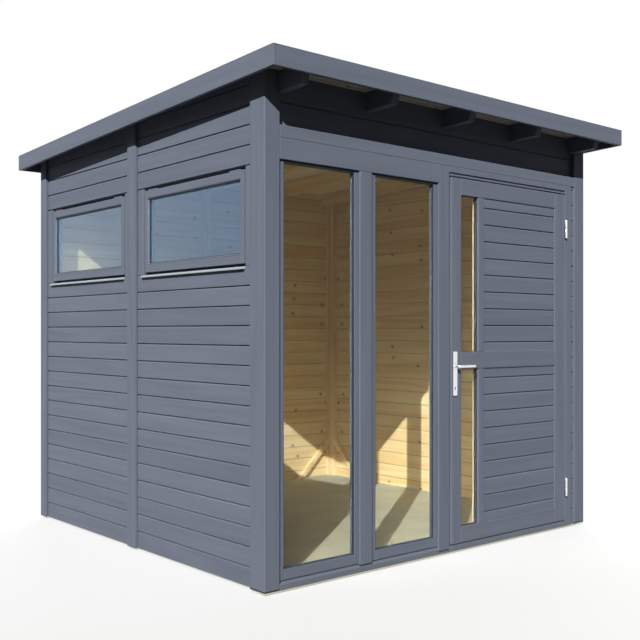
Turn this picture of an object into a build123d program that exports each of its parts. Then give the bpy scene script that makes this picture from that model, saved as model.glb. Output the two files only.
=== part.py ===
"""Garden office pod: a square timber cabin with a lean-to roof, one glazed corner and one door.

Millimetres, +Z up.  The front wall, with the door and two tall windows, faces -Y, and the wall
with the two high windows faces -X.  The origin is on the ground, under the middle of the roof.
"""
import os
from math import cos, radians, sin, tan

from build123d import *

os.makedirs("parts", exist_ok=True)

# ---------------------------------------------------------------- driving dimensions: the shell
cabin_width = 2370.0          # over the corner posts, along the front wall
cabin_depth = 2370.0          # over the corner posts, front to back
side_overhang = 100.0         # roof edge beyond the corner posts
front_overhang = 200.0
back_overhang = 100.0
eaves_height = 2352.0         # ground to the top of the front fascia
roof_slope = 2.1              # degrees, falling from front to back

# ---------------------------------------------------------------- driving dimensions: the timber
bearer_height = 10.0
bearer_width = 60.0
bearer_count = 9
bearer_inset = 2.0            # front bearer behind the faces of the front posts
bearer_side_inset = 80.0      # bearers stop this far inside the other faces
deck_thickness = 28.0
board_thickness = 19.0        # wall boards
trim_proud = 18.0             # corner posts and cover strips stand this far out of the boards
front_depth = 70.0            # depth of the posts, mullions and head of the front wall
stud_width = 45.0
stud_depth = 36.0
brace_leg = 290.0             # each knee brace reaches this far up and along
roof_board_thickness = 19.0
roof_lip = 13.0               # the fascias stand this far above the roof boards
rafter_width = 45.0
rafter_depth = 92.0
rafter_count = 5
rafter_inset = 100.0          # post face to the middle of the outer rafters
rafter_nose_gap = 3.0         # between a fascia and the top of each rafter end
rafter_nose_rake = 28.0       # the rafter ends lean back by this much at the bottom
fascia_height = 88.0
fascia_thickness = 19.0
felt_thickness = 3.0
fit = 1.0                     # clearance round a member that sits in a notch

# ---------------------------------------------------------------- driving dimensions: the corners
front_post_width = 84.0       # face seen from the front, left side
front_post_return = 113.0     # face seen from the side
right_post_width = 94.0
back_post_width = 72.0
cover_width = 88.0            # cover strip over the joint of two wall panels
arris = 4.0                   # rounding of the outer corner of a corner post

# ---------------------------------------------------------------- driving dimensions: front wall
centre_mullion_start = 560.0  # from the left post face
centre_mullion_width = 80.0
door_mullion_start = 1104.0
door_mullion_width = 91.0
door_mullion_foot = 34.0      # ground to the foot of the door mullion
door_mullion_rebate = 12.0    # square rebate in its front edge, beside the door
jamb_width = 59.0
jamb_groove_width = 32.0      # groove between the door jamb and the right post
jamb_groove_depth = 28.0
sill_board_height = 40.0      # base board below the tall windows
sill_board_fall = 14.0        # its front edge is this much lower than its back
sill_board_slope = 22.0       # depth of its sloping part
mullion_lip_depth = 10.0      # front of each mullion foot, hanging over the slope
mullion_lip_drop = 7.0
mullion_lip_gap = 7.0         # under the lip of the door mullion
window_head_height = 1924.0   # ground to the underside of the head board
window_head_depth = 96.0
header_depth = 56.0
head_board_setback = 30.0     # the boards over the header lie behind its face
frame_setback = 8.0           # tall window frames lie behind the faces of the mullions
frame_depth = 36.0
frame_bar = 28.0
frame_head_bar = 10.0
frame_foot_bar = 48.0
glass_setback = 23.0
glass_thickness = 6.0

# ---------------------------------------------------------------- driving dimensions: side windows
board_pitch = 90.5            # one wall board
first_joint = 96.0            # ground to the top of the lowest whole board
boards_below_window = 15
boards_beside_window = 5
casing_width = 58.0           # upright at each end of a window, out to the post or cover strip
sash_side_gap = 12.0
sash_end_gap = 13.0           # over and under a sash
sash_stile = 36.0
sash_rail = 48.0
sash_depth = 42.0
lining = 12.0                 # inner frame and stops round a sash
side_glass_setback = 13.0
sill_height = 14.0
sill_overlap = 12.0

# ---------------------------------------------------------------- driving dimensions: the door
door_gap = 5.0
door_thickness = 44.0
door_top = 1965.0             # ground to the top of the leaf
threshold_height = 30.0
stop_width = 20.0             # how far the stops reach in behind the leaf, past the gap
hinge_stile = 94.0
lock_stile = 75.0
muntin_width = 47.0
light_width = 137.0           # the narrow glass strip
top_rail = 88.0
middle_rail = 90.0
bottom_rail = 85.0
middle_rail_top = 1050.0      # from the ground
head_groove_height = 7.0      # groove along the head of the door frame
head_groove_depth = 15.0
head_strip = 11.0             # wood left below that groove
panel_setback = 6.0
panel_thickness = 18.0
light_setback = 14.0

# ---------------------------------------------------------------- driving dimensions: ironmongery
hinge_length = 105.0
hinge_diameter = 15.0
hinge_pin = 6.0
hinge_play = 0.4
hinge_wing = 30.0
hinge_plate = 2.0
lower_hinge = 188.0           # ground to the foot of each hinge
upper_hinge = 1708.0
backplate_width = 32.0
backplate_height = 230.0
backplate_thickness = 8.0
backplate_bottom = 823.0
lever_height = 976.0
lever_backset = 20.0          # edge of the leaf to the spindle
lever_length = 120.0
lever_standoff = 50.0         # face of the leaf to the outside of the lever
lever_diameter = 18.0
spindle_diameter = 9.0
spindle_play = 0.5
plate_to_lever = 5.0
keyhole_height = 862.0
keyhole_length = 16.0
keyhole_width = 7.0

# ---------------------------------------------------------------- worked-out places
roof_width = cabin_width + 2 * side_overhang
roof_depth = cabin_depth + front_overhang + back_overhang
roof_front = -roof_depth / 2
roof_back = roof_depth / 2
left = -cabin_width / 2
right = cabin_width / 2
front = roof_front + front_overhang
back = front + cabin_depth
board_left = left + trim_proud
board_right = right - trim_proud
board_back = back - trim_proud
inner_left = board_left + board_thickness
inner_right = board_right - board_thickness
inner_back = board_back - board_thickness
front_inside = front + front_depth
joint_y = (front + front_post_return + back - back_post_width) / 2  # middle of the side walls
deck_top = bearer_height + deck_thickness
roof_high = eaves_height + 100.0  # taller than any wall piece before it is cut to the roof

header_bottom = window_head_height + window_head_depth
header_top = header_bottom + header_depth
centre_mullion = left + centre_mullion_start
door_mullion = left + door_mullion_start
door_left = door_mullion + door_mullion_width
front_post_inner = left + front_post_width
right_post_inner = right - right_post_width
jamb_outer = right_post_inner - jamb_groove_width
jamb_inner = jamb_outer - jamb_width
leaf_left = door_left + door_gap
leaf_right = jamb_inner - door_gap
leaf_bottom = bearer_height + threshold_height + door_gap
leaf_back = front + door_thickness
hinge_x = leaf_right + door_gap / 2
hinge_y = front - hinge_diameter / 2 - 1.0
lever_x = leaf_left + lever_backset


def roof_plane(drop):
    """Plane of the roof, a given height below the top of the fascias."""
    slope = radians(roof_slope)
    return Plane(
        origin=(0, roof_front, eaves_height - drop),
        x_dir=(1, 0, 0),
        z_dir=(0, sin(slope), cos(slope)),
    )


def roof_z(y, drop):
    """Height of that plane at a distance y from the middle of the building."""
    return eaves_height - drop - (y - roof_front) * tan(radians(roof_slope))


def block(x_range, y_range, z_range, mode=Mode.ADD):
    """Square-cut timber between two corners, in the part that is being built."""
    low = Vector(x_range[0], y_range[0], z_range[0])
    size = (x_range[1] - x_range[0], y_range[1] - y_range[0], z_range[1] - z_range[0])
    with Locations(low):
        Box(*size, align=(Align.MIN, Align.MIN, Align.MIN), mode=mode)


def save(builder, name):
    """Label a finished piece and write it."""
    builder.part.label = name
    export_step(builder.part, f"parts/{name}.step")


soffit = roof_lip + roof_board_thickness  # underside of the roof boards, below the fascia tops
rafter_foot = soffit + rafter_depth
wall_top = roof_plane(soffit)
rafter_start = roof_front + fascia_thickness + rafter_nose_gap
rafter_end = roof_back - fascia_thickness - rafter_nose_gap
rafter_spacing = (cabin_width - 2 * rafter_inset) / (rafter_count - 1)
rafter_places = [left + rafter_inset + rafter_spacing * i for i in range(rafter_count)]


def notch_for_rafters(y_range):
    """Cut the seats of the rafters out of the top of a wall that they cross."""
    seat = roof_z(y_range[1], rafter_foot + fit)
    for x in rafter_places:
        half = rafter_width / 2 + fit
        block((x - half, x + half), y_range, (seat, roof_high), mode=Mode.SUBTRACT)


# ================================================================ floor
with BuildPart() as floor_bearers:
    bearer_x = (left + bearer_side_inset, right - bearer_side_inset)
    bearer_y = (front + bearer_inset, back - bearer_side_inset)
    bearer_pitch = (bearer_x[1] - bearer_x[0] - bearer_width) / (bearer_count - 1)
    for i in range(bearer_count):
        start = bearer_x[0] + bearer_pitch * i
        block((start, start + bearer_width), bearer_y, (0, bearer_height))
    block(
        (left + bearer_inset, bearer_x[1]),
        (bearer_y[0], bearer_y[0] + bearer_width),
        (0, bearer_height),
    )
    block(bearer_x, (bearer_y[1] - bearer_width, bearer_y[1]), (0, bearer_height))
save(floor_bearers, "floor_bearers")

with BuildPart() as floor_deck:
    block((inner_left, inner_right), (front_inside, inner_back), (bearer_height, deck_top))
save(floor_deck, "floor_deck")

# ================================================================ corner posts
def corner_post(name, x_side, front_face, side_face, depth, y_face, y_dir):
    """L-shaped corner post; x_side and y_dir point from the corner into the building."""
    x_face = left if x_side > 0 else right
    with BuildPart() as post:
        with BuildSketch(Plane.XY.offset(bearer_height)):
            with BuildLine():
                Polyline(
                    (x_face, y_face),
                    (x_face + x_side * front_face, y_face),
                    (x_face + x_side * front_face, y_face + y_dir * depth),
                    (x_face + x_side * trim_proud, y_face + y_dir * depth),
                    (x_face + x_side * trim_proud, y_face + y_dir * side_face),
                    (x_face, y_face + y_dir * side_face),
                    close=True,
                )
            make_face()
        extrude(amount=roof_high - bearer_height)
        outer = post.edges().filter_by(Axis.Z).sort_by_distance((x_face, y_face, bearer_height))[0]
        fillet(outer, radius=arris)
        split(bisect_by=wall_top, keep=Keep.BOTTOM)
        notch_for_rafters(sorted((y_face, y_face + y_dir * depth)))
    save(post, name)


corner_post("corner_post_front_left", 1, front_post_width, front_post_return, front_depth, front, 1)
corner_post("corner_post_front_right", -1, right_post_width, front_post_return, front_depth, front, 1)
corner_post("corner_post_back_left", 1, back_post_width, back_post_width, trim_proud, back, -1)
corner_post("corner_post_back_right", -1, back_post_width, back_post_width, trim_proud, back, -1)


# ================================================================ side walls
window_z = (
    first_joint + boards_below_window * board_pitch,
    first_joint + (boards_below_window + boards_beside_window) * board_pitch,
)
front_window_y = (front + front_post_return, joint_y - cover_width / 2)
back_window_y = (joint_y + cover_width / 2, back - back_post_width)


def side_panel(name, x_range, y_range, window_y=None):
    """Half of a side wall: boards from the bearers up to the roof."""
    with BuildPart() as panel:
        block(x_range, y_range, (bearer_height, roof_high))
        split(bisect_by=wall_top, keep=Keep.BOTTOM)
        if window_y is not None:
            block(x_range, window_y, window_z, mode=Mode.SUBTRACT)
    save(panel, name)


left_boards = (board_left, inner_left)
right_boards = (inner_right, board_right)
front_half = (front_inside, joint_y)
back_half = (joint_y, board_back)
side_panel("left_wall_front_panel", left_boards, front_half, front_window_y)
side_panel("left_wall_back_panel", left_boards, back_half, back_window_y)
side_panel("right_wall_front_panel", right_boards, front_half)
side_panel("right_wall_back_panel", right_boards, back_half)

# ================================================================ back wall
for name, x_range in (
    ("back_wall_left_panel", (inner_left, 0)),
    ("back_wall_right_panel", (0, inner_right)),
):
    with BuildPart() as back_panel:
        block(x_range, (inner_back, board_back), (bearer_height, roof_high))
        split(bisect_by=wall_top, keep=Keep.BOTTOM)
        notch_for_rafters((inner_back, board_back))
    save(back_panel, name)

# ================================================================ cover strips
for name, x_range in (
    ("left_cover_strip", (left, board_left)),
    ("right_cover_strip", (board_right, right)),
):
    with BuildPart() as cover:
        block(x_range, (joint_y - cover_width / 2, joint_y + cover_width / 2), (bearer_height, roof_high))
        split(bisect_by=wall_top, keep=Keep.BOTTOM)
    save(cover, name)

with BuildPart() as back_cover_strip:
    block((-cover_width / 2, cover_width / 2), (board_back, back), (bearer_height, roof_high))
    split(bisect_by=wall_top, keep=Keep.BOTTOM)
    notch_for_rafters((board_back, back))
save(back_cover_strip, "back_cover_strip")

# ================================================================ studs and knee braces
stud_top = roof_z(inner_back, rafter_foot + fit)
corner_stud = inner_back - stud_depth - stud_width   # front face of the side walls' last studs
for name, x_range in (
    ("left_wall_studs", (inner_left, inner_left + stud_depth)),
    ("right_wall_studs", (inner_right - stud_depth, inner_right)),
):
    with BuildPart() as studs:
        for start in (front_inside, joint_y - stud_width / 2, corner_stud):
            block(x_range, (start, start + stud_width), (deck_top, stud_top))
    save(studs, name)

with BuildPart() as back_wall_studs:
    for start in (inner_left, -stud_width / 2, inner_right - stud_width):
        block((start, start + stud_width), (inner_back - stud_depth, inner_back), (deck_top, stud_top))
save(back_wall_studs, "back_wall_studs")


def knee_brace(plane, depth):
    """A diagonal from a corner stud down to the floor, cut to fit both."""
    width = stud_width
    with BuildSketch(plane) as profile:
        with BuildLine():
            Polyline(
                (0, brace_leg),
                (0, brace_leg - width),
                (brace_leg - width, 0),
                (brace_leg, 0),
                close=True,
            )
        make_face()
    extrude(profile.sketch, amount=depth)


with BuildPart() as knee_braces:
    for x, inward in ((inner_left, 1), (inner_right, -1)):
        side_plane = Plane(origin=(x, corner_stud, deck_top), x_dir=(0, -1, 0), z_dir=(-1, 0, 0))
        knee_brace(side_plane, -inward * stud_depth)
        back_plane = Plane(
            origin=(x + inward * stud_width, inner_back, deck_top),
            x_dir=(inward, 0, 0),
            z_dir=(0, -inward, 0),
        )
        knee_brace(back_plane, inward * stud_depth)
save(knee_braces, "knee_braces")


# ================================================================ side windows
def side_window(name, window_y):
    """A top-hung sash between two casings, with its inner frame and a sheet of glass."""
    y0, y1 = window_y[0] + casing_width, window_y[1] - casing_width
    sash_y = (y0 + sash_side_gap, y1 - sash_side_gap)
    sash_z = (window_z[0] + sash_end_gap, window_z[1] - sash_end_gap)
    glass_y = (sash_y[0] + sash_stile, sash_y[1] - sash_stile)
    glass_z = (sash_z[0] + sash_rail, sash_z[1] - sash_rail)
    inner_x = (inner_left, inner_left + stud_depth)
    stop_x = (board_left + sash_depth, board_left + sash_depth + lining)
    sash_x = (board_left, board_left + sash_depth)
    glass_x = (board_left + side_glass_setback, board_left + side_glass_setback + glass_thickness)
    with BuildPart() as frame:
        block((board_left, inner_left), window_y, window_z)
        block(
            inner_x,
            (y0 - lining, min(y1 + lining, corner_stud)),
            (window_z[0] - lining, window_z[1] + lining),
        )
        block((board_left, inner_x[1]), (y0, y1), window_z, mode=Mode.SUBTRACT)
        block(stop_x, (y0, y1), window_z)
        block(
            stop_x,
            (sash_y[0] + sash_stile / 2, sash_y[1] - sash_stile / 2),
            (sash_z[0] + sash_rail / 2, sash_z[1] - sash_rail / 2),
            mode=Mode.SUBTRACT,
        )
    save(frame, f"{name}_frame")
    with BuildPart() as sash:
        block(sash_x, sash_y, sash_z)
        block(sash_x, glass_y, glass_z, mode=Mode.SUBTRACT)
    save(sash, f"{name}_sash")
    with BuildPart() as glass:
        block(glass_x, glass_y, glass_z)
    save(glass, f"{name}_glass")


side_window("side_window_front", front_window_y)
side_window("side_window_back", back_window_y)

with BuildPart() as window_sills:
    end = casing_width + sash_side_gap - sill_overlap
    for window_y in (front_window_y, back_window_y):
        block(
            (left, board_left),
            (window_y[0] + end, window_y[1] - end),
            (window_z[0] - sill_height, window_z[0]),
        )
save(window_sills, "window_sills")

# ================================================================ front wall
base_top = bearer_height + sill_board_height
with BuildPart() as front_base_board:
    with BuildSketch(Plane.YZ.offset(front_post_inner)):
        with BuildLine():
            Polyline(
                (front, bearer_height),
                (front_inside, bearer_height),
                (front_inside, base_top),
                (front + sill_board_slope, base_top),
                (front, base_top - sill_board_fall),
                close=True,
            )
        make_face()
    extrude(amount=door_mullion - front_post_inner)
    block(
        (door_mullion, door_left),
        (front + mullion_lip_depth, front_inside),
        (bearer_height, door_mullion_foot),
    )
    block(
        (door_mullion, door_left),
        (front, front + mullion_lip_depth),
        (bearer_height, door_mullion_foot - mullion_lip_drop - mullion_lip_gap),
    )
save(front_base_board, "front_base_board")


def mullion(start, width, foot, top):
    """Upright of the front wall; the front of its foot hangs over the slope below."""
    block((start, start + width), (front, front_inside), (foot, top))
    block((start, start + width), (front, front + mullion_lip_depth), (foot - mullion_lip_drop, foot))


with BuildPart() as mullion_centre:
    mullion(centre_mullion, centre_mullion_width, base_top, window_head_height)
save(mullion_centre, "mullion_centre")

with BuildPart() as mullion_door:
    mullion(door_mullion, door_mullion_width, door_mullion_foot, header_bottom)
    block(
        (door_left - door_mullion_rebate, door_left),
        (front, front + door_mullion_rebate),
        (door_mullion_foot - mullion_lip_drop, header_bottom),
        mode=Mode.SUBTRACT,
    )
save(mullion_door, "mullion_door")

with BuildPart() as window_head_board:
    block(
        (front_post_inner, door_mullion),
        (front, front_inside),
        (window_head_height, header_bottom),
    )
save(window_head_board, "window_head_board")

with BuildPart() as header_beam:
    block((front_post_inner, right_post_inner), (front, front_inside), (header_bottom, header_top))
save(header_beam, "header_beam")

with BuildPart() as front_head_boards:
    head_face = front + head_board_setback
    head_range = (head_face, head_face + board_thickness)
    block((front_post_inner, right_post_inner), head_range, (header_top, roof_high))
    split(bisect_by=wall_top, keep=Keep.BOTTOM)
    notch_for_rafters(head_range)
save(front_head_boards, "front_head_boards")

# ================================================================ tall windows
for name, x0, x1 in (
    ("tall_window_left", front_post_inner, centre_mullion),
    ("tall_window_right", centre_mullion + centre_mullion_width, door_mullion),
):
    glass_x = (x0 + frame_bar, x1 - frame_bar)
    glass_z = (base_top + frame_foot_bar, window_head_height - frame_head_bar)
    with BuildPart() as frame:
        frame_y = (front + frame_setback, front + frame_setback + frame_depth)
        block((x0, x1), frame_y, (base_top, window_head_height))
        block(glass_x, frame_y, glass_z, mode=Mode.SUBTRACT)
        block(
            (x0, x1),
            (frame_y[0], front + glass_setback),
            (glass_z[1], window_head_height),
            mode=Mode.SUBTRACT,
        )
    save(frame, f"{name}_frame")
    with BuildPart() as glass:
        block(glass_x, (front + glass_setback, front + glass_setback + glass_thickness), glass_z)
    save(glass, f"{name}_glass")

# ================================================================ door frame
with BuildPart() as door_frame:
    frame_z = (bearer_height, header_bottom)
    stop_y = (leaf_back + door_gap, front_inside)
    block((door_left, right_post_inner), (front, front_inside), frame_z)
    block(
        (door_left, jamb_inner),
        (front, stop_y[0]),
        (bearer_height + threshold_height, door_top + door_gap),
        mode=Mode.SUBTRACT,
    )
    block(
        (door_left + door_gap + stop_width, jamb_inner - door_gap - stop_width),
        stop_y,
        (bearer_height + threshold_height, door_top - stop_width),
        mode=Mode.SUBTRACT,
    )
    block(
        (jamb_outer, right_post_inner),
        (front, front + jamb_groove_depth),
        frame_z,
        mode=Mode.SUBTRACT,
    )
    groove_foot = door_top + door_gap + head_strip
    block(
        (door_left, jamb_inner),
        (front, front + head_groove_depth),
        (groove_foot, groove_foot + head_groove_height),
        mode=Mode.SUBTRACT,
    )
    block(
        (door_left, lever_x + backplate_width / 2 + door_gap),
        stop_y,
        (backplate_bottom - door_gap, backplate_bottom + backplate_height + door_gap),
        mode=Mode.SUBTRACT,
    )
save(door_frame, "door_frame")

# ================================================================ door leaf
light_x = (leaf_left + lock_stile, leaf_left + lock_stile + light_width)
panel_x = (light_x[1] + muntin_width, leaf_right - hinge_stile)
lower_z = (leaf_bottom + bottom_rail, middle_rail_top - middle_rail)
upper_z = (middle_rail_top, door_top - top_rail)
leaf_y = (front, leaf_back)

with BuildPart() as door_leaf_frame:
    block((leaf_left, leaf_right), leaf_y, (leaf_bottom, door_top))
    for x_range in (light_x, panel_x):
        for z_range in (lower_z, upper_z):
            block(x_range, leaf_y, z_range, mode=Mode.SUBTRACT)
    with Locations(Plane(origin=(lever_x, front, lever_height), x_dir=(1, 0, 0), z_dir=(0, -1, 0))):
        Cylinder(
            spindle_diameter / 2 + door_gap,
            4 * door_thickness,
            mode=Mode.SUBTRACT,
        )
save(door_leaf_frame, "door_leaf_frame")

with BuildPart() as door_boarding:
    for z_range in (lower_z, upper_z):
        block(panel_x, (front + panel_setback, front + panel_setback + panel_thickness), z_range)
save(door_boarding, "door_boarding")

with BuildPart() as door_glass:
    for z_range in (lower_z, upper_z):
        block(light_x, (front + light_setback, front + light_setback + glass_thickness), z_range)
save(door_glass, "door_glass")


# ================================================================ hinges
def hinge_half(foot, length, wing_x, bore):
    """Half of a lift-off hinge: a barrel and the wing that is let into the gap."""
    with BuildSketch(Plane.XY.offset(foot)) as profile:
        with Locations((hinge_x, hinge_y)):
            Circle(hinge_diameter / 2)
        with Locations((wing_x, hinge_y)):
            Rectangle(hinge_plate, hinge_diameter / 2 + 1.0 + hinge_wing, align=(Align.CENTER, Align.MIN))
        if bore:
            with Locations((hinge_x, hinge_y)):
                Circle(hinge_pin / 2 + hinge_play, mode=Mode.SUBTRACT)
    extrude(profile.sketch, amount=length)


half_hinge = (hinge_length - hinge_play) / 2
with BuildPart() as hinge_frame_knuckles:
    for foot in (lower_hinge, upper_hinge):
        hinge_half(foot, half_hinge, jamb_inner - hinge_plate / 2, False)
        with Locations((hinge_x, hinge_y, foot + half_hinge)):
            Cylinder(hinge_pin / 2, half_hinge, align=(Align.CENTER, Align.CENTER, Align.MIN))
save(hinge_frame_knuckles, "hinge_frame_knuckles")

with BuildPart() as hinge_leaf_knuckles:
    for foot in (lower_hinge, upper_hinge):
        hinge_half(foot + half_hinge + hinge_play, half_hinge, leaf_right + hinge_plate / 2, True)
save(hinge_leaf_knuckles, "hinge_leaf_knuckles")

# ================================================================ handle
with BuildPart() as handle_plates:
    plate_z = backplate_bottom + backplate_height / 2
    for face, outward in ((front, -1), (leaf_back, 1)):
        with BuildSketch(Plane(origin=(lever_x, face, plate_z), x_dir=(1, 0, 0), z_dir=(0, outward, 0))):
            RectangleRounded(backplate_width, backplate_height, 6)
        extrude(amount=backplate_thickness)
    with Locations(Plane(origin=(lever_x, front, lever_height), x_dir=(1, 0, 0), z_dir=(0, -1, 0))):
        Cylinder(spindle_diameter / 2 + spindle_play, 4 * door_thickness, mode=Mode.SUBTRACT)
    with BuildSketch(Plane(origin=(lever_x, front, keyhole_height), x_dir=(1, 0, 0), z_dir=(0, -1, 0))):
        SlotOverall(keyhole_length, keyhole_width, rotation=90)
    extrude(amount=2 * door_thickness, both=True, mode=Mode.SUBTRACT)
save(handle_plates, "handle_plates")

with BuildPart() as lever_handle:
    reach = lever_standoff - lever_diameter / 2
    with Locations(Plane(origin=(lever_x, front + door_thickness / 2, lever_height), z_dir=(0, -1, 0))):
        Cylinder(spindle_diameter / 2, door_thickness + 2 * reach)
    for face, outward in ((front, -1), (leaf_back, 1)):
        lever_y = face + outward * reach
        with Locations(Plane(origin=(lever_x, lever_y, lever_height), z_dir=(1, 0, 0))):
            Cylinder(
                lever_diameter / 2,
                lever_length,
                align=(Align.CENTER, Align.CENTER, Align.MIN),
            )
        with BuildSketch(Plane(origin=(lever_x, lever_y, lever_height), z_dir=(0, -outward, 0))):
            Circle(lever_diameter / 2)
        extrude(amount=reach - backplate_thickness - plate_to_lever)
save(lever_handle, "lever_handle")

# ================================================================ roof
with BuildPart() as rafters:
    for x in rafter_places:
        with BuildSketch(Plane.YZ.offset(x)):
            with BuildLine():
                Polyline(
                    (rafter_start, roof_z(rafter_start, soffit)),
                    (rafter_end, roof_z(rafter_end, soffit)),
                    (rafter_end - rafter_nose_rake, roof_z(rafter_end - rafter_nose_rake, rafter_foot)),
                    (rafter_start + rafter_nose_rake, roof_z(rafter_start + rafter_nose_rake, rafter_foot)),
                    close=True,
                )
            make_face()
        extrude(amount=rafter_width / 2, both=True)
save(rafters, "rafters")


def roof_slab(x_range, y_range, top_drop, bottom_drop, mode=Mode.ADD):
    """Upright-sided slab between two heights below the plane of the fascia tops."""
    with BuildSketch(Plane.YZ.offset(x_range[0])) as profile:
        with BuildLine():
            Polyline(
                (y_range[0], roof_z(y_range[0], top_drop)),
                (y_range[1], roof_z(y_range[1], top_drop)),
                (y_range[1], roof_z(y_range[1], bottom_drop)),
                (y_range[0], roof_z(y_range[0], bottom_drop)),
                close=True,
            )
        make_face()
    extrude(profile.sketch, amount=x_range[1] - x_range[0], mode=mode)


outer_roof_x = (left - side_overhang, right + side_overhang)
outer_roof_y = (roof_front, roof_back)
inner_roof_x = (outer_roof_x[0] + fascia_thickness, outer_roof_x[1] - fascia_thickness)
inner_roof_y = (outer_roof_y[0] + fascia_thickness, outer_roof_y[1] - fascia_thickness)
tray_x = (inner_roof_x[0] + felt_thickness, inner_roof_x[1] - felt_thickness)
tray_y = (inner_roof_y[0] + felt_thickness, inner_roof_y[1] - felt_thickness)

with BuildPart() as roof_boards:
    roof_slab(inner_roof_x, inner_roof_y, roof_lip, soffit)
save(roof_boards, "roof_boards")

for name, x_range, y_range in (
    ("fascia_front", inner_roof_x, (outer_roof_y[0], inner_roof_y[0])),
    ("fascia_back", inner_roof_x, (inner_roof_y[1], outer_roof_y[1])),
    ("fascia_left", (outer_roof_x[0], inner_roof_x[0]), outer_roof_y),
    ("fascia_right", (inner_roof_x[1], outer_roof_x[1]), outer_roof_y),
):
    with BuildPart() as fascia:
        roof_slab(x_range, y_range, 0, fascia_height)
    save(fascia, name)

with BuildPart() as roof_felt:
    roof_slab(outer_roof_x, outer_roof_y, -felt_thickness, 0)
    roof_slab(inner_roof_x, inner_roof_y, 0, roof_lip)
    roof_slab(tray_x, tray_y, -2 * felt_thickness, roof_lip - felt_thickness, mode=Mode.SUBTRACT)
save(roof_felt, "roof_felt")
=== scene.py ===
# %% [markdown]
# # A garden office pod, dressed for its picture
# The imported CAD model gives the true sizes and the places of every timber. This lesson keeps those
# places and makes what a CAD model leaves out: separate boards, rounded edges, beads, grain and glass.

# %% Load the frame
from math import atan2, radians

import bmesh
import bpy
from bmesh.types import BMEdge, BMFace, BMVert
from mathutils import Matrix, Vector


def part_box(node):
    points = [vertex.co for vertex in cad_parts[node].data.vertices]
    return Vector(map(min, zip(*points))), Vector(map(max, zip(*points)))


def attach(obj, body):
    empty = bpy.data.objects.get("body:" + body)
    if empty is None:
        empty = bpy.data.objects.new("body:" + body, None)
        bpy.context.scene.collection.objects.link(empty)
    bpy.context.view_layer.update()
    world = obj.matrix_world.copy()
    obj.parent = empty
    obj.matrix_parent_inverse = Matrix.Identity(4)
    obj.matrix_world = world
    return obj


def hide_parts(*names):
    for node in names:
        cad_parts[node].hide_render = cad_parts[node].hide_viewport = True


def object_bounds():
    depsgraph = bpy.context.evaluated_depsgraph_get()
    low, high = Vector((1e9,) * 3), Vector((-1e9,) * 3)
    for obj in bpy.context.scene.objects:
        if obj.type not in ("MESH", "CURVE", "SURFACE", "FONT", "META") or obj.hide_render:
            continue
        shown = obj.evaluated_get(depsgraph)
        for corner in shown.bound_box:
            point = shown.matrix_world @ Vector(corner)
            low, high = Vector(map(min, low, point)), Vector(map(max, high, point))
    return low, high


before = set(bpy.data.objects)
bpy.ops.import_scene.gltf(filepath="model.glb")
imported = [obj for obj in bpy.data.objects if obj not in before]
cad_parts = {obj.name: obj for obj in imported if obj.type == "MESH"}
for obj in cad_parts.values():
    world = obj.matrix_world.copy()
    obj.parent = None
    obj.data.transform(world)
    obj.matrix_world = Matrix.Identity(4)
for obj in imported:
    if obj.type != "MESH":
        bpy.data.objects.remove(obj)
cad_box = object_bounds()
X, Y, Z = Vector((1, 0, 0)), Vector((0, 1, 0)), Vector((0, 0, 1))
print("CAD box", [round(v, 3) for corner in cad_box for v in corner])

# %% [markdown]
# ## The camera
# The building is seen from eye height, a little to the left of its near corner.  A level camera keeps
# the posts upright in the picture, and a small lens shift does what tilting would have done.

# %% Set the camera
def put_in_scene(name, data):
    """A new object in the scene."""
    thing = bpy.data.objects.new(name, data)
    bpy.context.scene.collection.objects.link(thing)
    return thing


lens = bpy.data.cameras.new("view")
lens.lens = 52.94
lens.sensor_width = 36.0
lens.shift_x = -0.0556
lens.shift_y = 0.018
viewer = put_in_scene("view", lens)
viewer.location = (-3.613, -4.476, 1.158)
viewer.rotation_euler = (radians(90), 0, -atan2(0.6631, 0.7486))
bpy.context.scene.camera = viewer
print("camera", [round(v, 3) for v in viewer.location])

# %% [markdown]
# ## Light, sky and floor
# A studio picture of a building wants one clear key light, so that the roof throws its shade on the
# wall under it, and a weak even light from all round.  The sky is white to the eye and in glass and
# metal, but dimmer where it lights the timber.  That keeps colours as they are written.

# %% Make the world
SKY_FILL = 0.028
scene = bpy.context.scene
scene.view_settings.view_transform = "Standard"
world = bpy.data.worlds.new("studio")
scene.world = world
world.use_nodes = True
sky = world.node_tree


def add(tree, kind, inputs=None, **settings):
    """Add one shader node, set its inputs by value or by link, and return it."""
    made = tree.nodes.new("ShaderNode" + kind)
    for key, value in settings.items():
        setattr(made, key, value)
    for socket, value in (inputs or {}).items():
        if isinstance(value, bpy.types.NodeSocket):
            tree.links.new(value, made.inputs[socket])
        else:
            made.inputs[socket].default_value = value
    return made


def math(tree, operation, first, second=0.0, third=0.0):
    """The result of one Math node."""
    return add(tree, "Math", {0: first, 1: second, 2: third}, operation=operation).outputs[0]


def seen_directly(tree):
    """1 for rays that end in the eye, a mirror or glass, 0 for rays that light matt faces."""
    path = add(tree, "LightPath").outputs
    eye_or_mirror = math(tree, "MAXIMUM", path["Is Camera Ray"], path["Is Glossy Ray"])
    shown = math(tree, "MAXIMUM", eye_or_mirror, path["Is Transmission Ray"])
    return math(tree, "MULTIPLY", shown, math(tree, "LESS_THAN", path["Diffuse Depth"], 0.5))


sky.nodes.clear()
dim = add(sky, "Background", {"Color": (0.84, 0.91, 1.0, 1), "Strength": SKY_FILL})
bright = add(sky, "Background", {"Color": (1, 1, 1, 1), "Strength": 1.0})
blend = add(sky, "MixShader", {0: seen_directly(sky), 1: dim.outputs[0], 2: bright.outputs[0]})
add(sky, "OutputWorld", {"Surface": blend.outputs[0]})
print("sky fill", SKY_FILL)

# %% [markdown]
# The key light is a sun lamp, because parallel light gives every post the same crisp shade.  A second,
# wide and weak one from the far side keeps the walls that face away from going black.

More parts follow.
